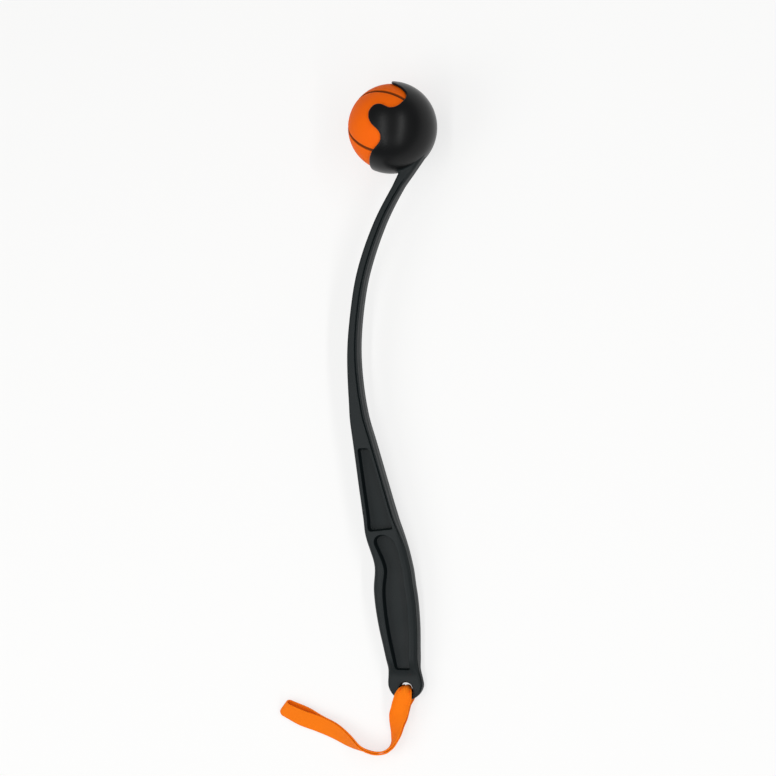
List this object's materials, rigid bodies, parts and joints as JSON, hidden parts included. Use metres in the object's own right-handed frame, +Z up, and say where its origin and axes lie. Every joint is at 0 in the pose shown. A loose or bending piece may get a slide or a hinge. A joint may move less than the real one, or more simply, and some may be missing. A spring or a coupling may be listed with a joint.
{
  "type": "dog ball launcher",
  "caption": "Hand-held stick for throwing a dog's ball: a scalloped snap-in cup that holds a rubber ball, a slim bowed shaft, a contoured hollowed handle and a wrist strap through its end.",
  "frame": {"origin": "on the ground, at the middle of the bounding box's base, with the launcher lying on its side on its cup and grip", "axes": "+Y along the stick from the strap to the ball, +X towards the back of the handle, +Z up; the ball leaves the cup towards -X"},
  "size_m": [0.1226, 0.5062, 0.069],
  "materials": {
    "stick_plastic": "satin moulded black",
    "ball_rubber": "matt orange",
    "strap_webbing": "woven orange tape",
    "strap_thread": "orange sewing thread"
  },
  "bodies": {
    "stick": {"ball_cup": "stick_plastic", "shaft": "stick_plastic", "handle": "stick_plastic"},
    "ball": {"ball_half_near": "ball_rubber", "ball_half_far": "ball_rubber"},
    "strap": {"wrist_strap": "strap_webbing", "strap_stitching": "strap_thread"}
  },
  "joints": [
    {"name": "ball_release", "type": "slide", "parent": "stick", "child": "ball", "axis": [-0.9659, 0.2583, 0.0166], "range_m": [0, 0.07], "deforming": ["ball_cup"]},
    {"name": "strap_swing", "type": "hinge", "parent": "stick", "child": "strap", "pos_m": [0.03905, -0.20082, 0.00755], "axis": [0, 0, 1], "range_deg": [-45, 45]}
  ]
}
